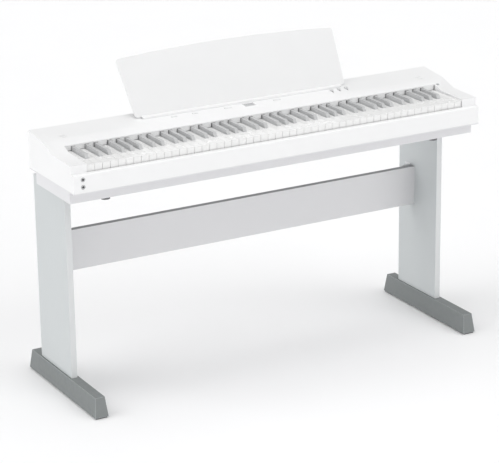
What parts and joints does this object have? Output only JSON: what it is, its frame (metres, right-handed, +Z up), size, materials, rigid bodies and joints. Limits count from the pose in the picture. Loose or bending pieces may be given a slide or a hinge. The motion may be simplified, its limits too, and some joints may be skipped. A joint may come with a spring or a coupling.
{
  "type": "digital piano on stand",
  "caption": "Slim 88-key digital piano with a leaning music rest, on a stand of two side panels, a back board and two foot bars.",
  "frame": {"origin": "on the floor, below the middle of the whole object's box", "axes": "+X to the player's right along the keyboard, player on the -Y side, +Z up"},
  "size_m": [1.322, 0.448, 0.9243],
  "materials": {
    "case": "fine moulded satin",
    "tray": "moulded satin",
    "white_keys": "gloss",
    "black_keys": "satin",
    "rest": "satin",
    "window": "gloss",
    "controls": "satin",
    "buttons": "satin",
    "stand_board": "satin laminate",
    "foot_board": "satin laminate",
    "rubber": "matte",
    "steel": "zinc plated",
    "felt": "felt",
    "frame_plastic": "moulded",
    "hammer_weight": "matt",
    "circuit": "solder mask",
    "speaker": "pressed frame and paper cone",
    "jack": "gloss"
  },
  "bodies": {
    "case_and_stand": {"bottom_case": "tray", "upper_case": "case", "key_slip": "case", "music_rest_holder": "case", "display_window": "window", "button_board": "circuit", "slider_units": "frame_plastic", "key_frame": "frame_plastic", "key_pivot_rod": "steel", "hammer_pivot_rod": "steel", "stop_felts": "felt", "contact_board": "circuit", "main_board": "circuit", "speakers": "speaker", "tweeter_grilles": "controls", "headphone_jacks": "jack", "rear_jacks": "jack", "rubber_feet": "rubber", "left_side_panel": "stand_board", "right_side_panel": "stand_board", "back_board": "stand_board", "left_foot_bar": "foot_board", "right_foot_bar": "foot_board", "foot_pads": "rubber", "rear_covers": "case", "stand_brackets": "steel", "stand_screws": "steel"},
    "key_c": {"key_c": "white_keys"},
    "key_c_sharp": {"key_c_sharp": "black_keys"},
    "key_d": {"key_d": "white_keys"},
    "key_d_sharp": {"key_d_sharp": "black_keys"},
    "key_e": {"key_e": "white_keys"},
    "key_f": {"key_f": "white_keys"},
    "key_f_sharp": {"key_f_sharp": "black_keys"},
    "key_g": {"key_g": "white_keys"},
    "key_g_sharp": {"key_g_sharp": "black_keys"},
    "key_a": {"key_a": "white_keys"},
    "key_a_sharp": {"key_a_sharp": "black_keys"},
    "key_b": {"key_b": "white_keys"},
    "hammer_c": {"hammer_c": "hammer_weight"},
    "hammer_c_sharp": {"hammer_c_sharp": "hammer_weight"},
    "hammer_d": {"hammer_d": "hammer_weight"},
    "hammer_d_sharp": {"hammer_d_sharp": "hammer_weight"},
    "hammer_e": {"hammer_e": "hammer_weight"},
    "hammer_f": {"hammer_f": "hammer_weight"},
    "hammer_f_sharp": {"hammer_f_sharp": "hammer_weight"},
    "hammer_g": {"hammer_g": "hammer_weight"},
    "hammer_g_sharp": {"hammer_g_sharp": "hammer_weight"},
    "hammer_a": {"hammer_a": "hammer_weight"},
    "hammer_a_sharp": {"hammer_a_sharp": "hammer_weight"},
    "hammer_b": {"hammer_b": "hammer_weight"},
    "function_button": {"function_button": "buttons"},
    "metronome_button": {"metronome_button": "buttons"},
    "piano_button": {"piano_button": "buttons"},
    "layer_button": {"layer_button": "buttons"},
    "power_button": {"power_button": "controls"},
    "volume_slider": {"volume_slider": "controls"},
    "bass_slider": {"bass_slider": "controls"},
    "treble_slider": {"treble_slider": "controls"},
    "music_rest": {"music_rest": "rest"}
  },
  "joints": [
    {"name": "key_c_press", "type": "hinge", "parent": "case_and_stand", "child": "key_c", "pos_m": [0, 0.045, 0.712], "axis": [1, 0, 0], "range_deg": [0, 2.6], "stiffness_Nm_per_rad": 3, "springref_deg": -8.59},
    {"name": "key_c_sharp_press", "type": "hinge", "parent": "case_and_stand", "child": "key_c_sharp", "pos_m": [0, 0.045, 0.712], "axis": [1, 0, 0], "range_deg": [0, 2.6], "stiffness_Nm_per_rad": 3, "springref_deg": -8.59},
    {"name": "key_d_press", "type": "hinge", "parent": "case_and_stand", "child": "key_d", "pos_m": [0, 0.045, 0.712], "axis": [1, 0, 0], "range_deg": [0, 2.6], "stiffness_Nm_per_rad": 3, "springref_deg": -8.59},
    {"name": "key_d_sharp_press", "type": "hinge", "parent": "case_and_stand", "child": "key_d_sharp", "pos_m": [0, 0.045, 0.712], "axis": [1, 0, 0], "range_deg": [0, 2.6], "stiffness_Nm_per_rad": 3, "springref_deg": -8.59},
    {"name": "key_e_press", "type": "hinge", "parent": "case_and_stand", "child": "key_e", "pos_m": [0, 0.045, 0.712], "axis": [1, 0, 0], "range_deg": [0, 2.6], "stiffness_Nm_per_rad": 3, "springref_deg": -8.59},
    {"name": "key_f_press", "type": "hinge", "parent": "case_and_stand", "child": "key_f", "pos_m": [0, 0.045, 0.712], "axis": [1, 0, 0], "range_deg": [0, 2.6], "stiffness_Nm_per_rad": 3, "springref_deg": -8.59},
    {"name": "key_f_sharp_press", "type": "hinge", "parent": "case_and_stand", "child": "key_f_sharp", "pos_m": [0, 0.045, 0.712], "axis": [1, 0, 0], "range_deg": [0, 2.6], "stiffness_Nm_per_rad": 3, "springref_deg": -8.59},
    {"name": "key_g_press", "type": "hinge", "parent": "case_and_stand", "child": "key_g", "pos_m": [0, 0.045, 0.712], "axis": [1, 0, 0], "range_deg": [0, 2.6], "stiffness_Nm_per_rad": 3, "springref_deg": -8.59},
    {"name": "key_g_sharp_press", "type": "hinge", "parent": "case_and_stand", "child": "key_g_sharp", "pos_m": [0, 0.045, 0.712], "axis": [1, 0, 0], "range_deg": [0, 2.6], "stiffness_Nm_per_rad": 3, "springref_deg": -8.59},
    {"name": "key_a_press", "type": "hinge", "parent": "case_and_stand", "child": "key_a", "pos_m": [0, 0.045, 0.712], "axis": [1, 0, 0], "range_deg": [0, 2.6], "stiffness_Nm_per_rad": 3, "springref_deg": -8.59},
    {"name": "key_a_sharp_press", "type": "hinge", "parent": "case_and_stand", "child": "key_a_sharp", "pos_m": [0, 0.045, 0.712], "axis": [1, 0, 0], "range_deg": [0, 2.6], "stiffness_Nm_per_rad": 3, "springref_deg": -8.59},
    {"name": "key_b_press", "type": "hinge", "parent": "case_and_stand", "child": "key_b", "pos_m": [0, 0.045, 0.712], "axis": [1, 0, 0], "range_deg": [0, 2.6], "stiffness_Nm_per_rad": 3, "springref_deg": -8.59},
    {"name": "hammer_c_swing", "type": "hinge", "parent": "case_and_stand", "child": "hammer_c", "pos_m": [0, -0.065, 0.664], "axis": [1, 0, 0], "range_deg": [0, 11.1]},
    {"name": "hammer_c_sharp_swing", "type": "hinge", "parent": "case_and_stand", "child": "hammer_c_sharp", "pos_m": [0, -0.065, 0.664], "axis": [1, 0, 0], "range_deg": [0, 11.1]},
    {"name": "hammer_d_swing", "type": "hinge", "parent": "case_and_stand", "child": "hammer_d", "pos_m": [0, -0.065, 0.664], "axis": [1, 0, 0], "range_deg": [0, 11.1]},
    {"name": "hammer_d_sharp_swing", "type": "hinge", "parent": "case_and_stand", "child": "hammer_d_sharp", "pos_m": [0, -0.065, 0.664], "axis": [1, 0, 0], "range_deg": [0, 11.1]},
    {"name": "hammer_e_swing", "type": "hinge", "parent": "case_and_stand", "child": "hammer_e", "pos_m": [0, -0.065, 0.664], "axis": [1, 0, 0], "range_deg": [0, 11.1]},
    {"name": "hammer_f_swing", "type": "hinge", "parent": "case_and_stand", "child": "hammer_f", "pos_m": [0, -0.065, 0.664], "axis": [1, 0, 0], "range_deg": [0, 11.1]},
    {"name": "hammer_f_sharp_swing", "type": "hinge", "parent": "case_and_stand", "child": "hammer_f_sharp", "pos_m": [0, -0.065, 0.664], "axis": [1, 0, 0], "range_deg": [0, 11.1]},
    {"name": "hammer_g_swing", "type": "hinge", "parent": "case_and_stand", "child": "hammer_g", "pos_m": [0, -0.065, 0.664], "axis": [1, 0, 0], "range_deg": [0, 11.1]},
    {"name": "hammer_g_sharp_swing", "type": "hinge", "parent": "case_and_stand", "child": "hammer_g_sharp", "pos_m": [0, -0.065, 0.664], "axis": [1, 0, 0], "range_deg": [0, 11.1]},
    {"name": "hammer_a_swing", "type": "hinge", "parent": "case_and_stand", "child": "hammer_a", "pos_m": [0, -0.065, 0.664], "axis": [1, 0, 0], "range_deg": [0, 11.1]},
    {"name": "hammer_a_sharp_swing", "type": "hinge", "parent": "case_and_stand", "child": "hammer_a_sharp", "pos_m": [0, -0.065, 0.664], "axis": [1, 0, 0], "range_deg": [0, 11.1]},
    {"name": "hammer_b_swing", "type": "hinge", "parent": "case_and_stand", "child": "hammer_b", "pos_m": [0, -0.065, 0.664], "axis": [1, 0, 0], "range_deg": [0, 11.1]},
    {"name": "function_button_press", "type": "slide", "parent": "case_and_stand", "child": "function_button", "axis": [0, 0, -1], "range_m": [0, 0.0008], "stiffness_N_per_m": 400, "springref_m": -0.002},
    {"name": "metronome_button_press", "type": "slide", "parent": "case_and_stand", "child": "metronome_button", "axis": [0, 0, -1], "range_m": [0, 0.0008], "stiffness_N_per_m": 400, "springref_m": -0.002},
    {"name": "piano_button_press", "type": "slide", "parent": "case_and_stand", "child": "piano_button", "axis": [0, 0, -1], "range_m": [0, 0.0008], "stiffness_N_per_m": 400, "springref_m": -0.002},
    {"name": "layer_button_press", "type": "slide", "parent": "case_and_stand", "child": "layer_button", "axis": [0, 0, -1], "range_m": [0, 0.0008], "stiffness_N_per_m": 400, "springref_m": -0.002},
    {"name": "power_button_press", "type": "slide", "parent": "case_and_stand", "child": "power_button", "axis": [0, 0, -1], "range_m": [0, 0.0008], "stiffness_N_per_m": 400, "springref_m": -0.002},
    {"name": "volume_slider_move", "type": "slide", "parent": "case_and_stand", "child": "volume_slider", "axis": [0, 0.9941, 0.1083], "range_m": [-0.009, 0.009]},
    {"name": "bass_slider_move", "type": "slide", "parent": "case_and_stand", "child": "bass_slider", "axis": [0, 0.9941, 0.1083], "range_m": [-0.009, 0.009]},
    {"name": "treble_slider_move", "type": "slide", "parent": "case_and_stand", "child": "treble_slider", "axis": [0, 0.9941, 0.1083], "range_m": [-0.009, 0.009]},
    {"name": "music_rest_lift", "type": "slide", "parent": "case_and_stand", "child": "music_rest", "axis": [0, 0.5299, 0.848], "range_m": [0, 0.05]}
  ],
  "couplings": [
    {"joint": "hammer_c_swing", "follows": "key_c_press", "ratio": 4.25},
    {"joint": "hammer_c_sharp_swing", "follows": "key_c_sharp_press", "ratio": 4.25},
    {"joint": "hammer_d_swing", "follows": "key_d_press", "ratio": 4.25},
    {"joint": "hammer_d_sharp_swing", "follows": "key_d_sharp_press", "ratio": 4.25},
    {"joint": "hammer_e_swing", "follows": "key_e_press", "ratio": 4.25},
    {"joint": "hammer_f_swing", "follows": "key_f_press", "ratio": 4.25},
    {"joint": "hammer_f_sharp_swing", "follows": "key_f_sharp_press", "ratio": 4.25},
    {"joint": "hammer_g_swing", "follows": "key_g_press", "ratio": 4.25},
    {"joint": "hammer_g_sharp_swing", "follows": "key_g_sharp_press", "ratio": 4.25},
    {"joint": "hammer_a_swing", "follows": "key_a_press", "ratio": 4.25},
    {"joint": "hammer_a_sharp_swing", "follows": "key_a_sharp_press", "ratio": 4.25},
    {"joint": "hammer_b_swing", "follows": "key_b_press", "ratio": 4.25}
  ]
}
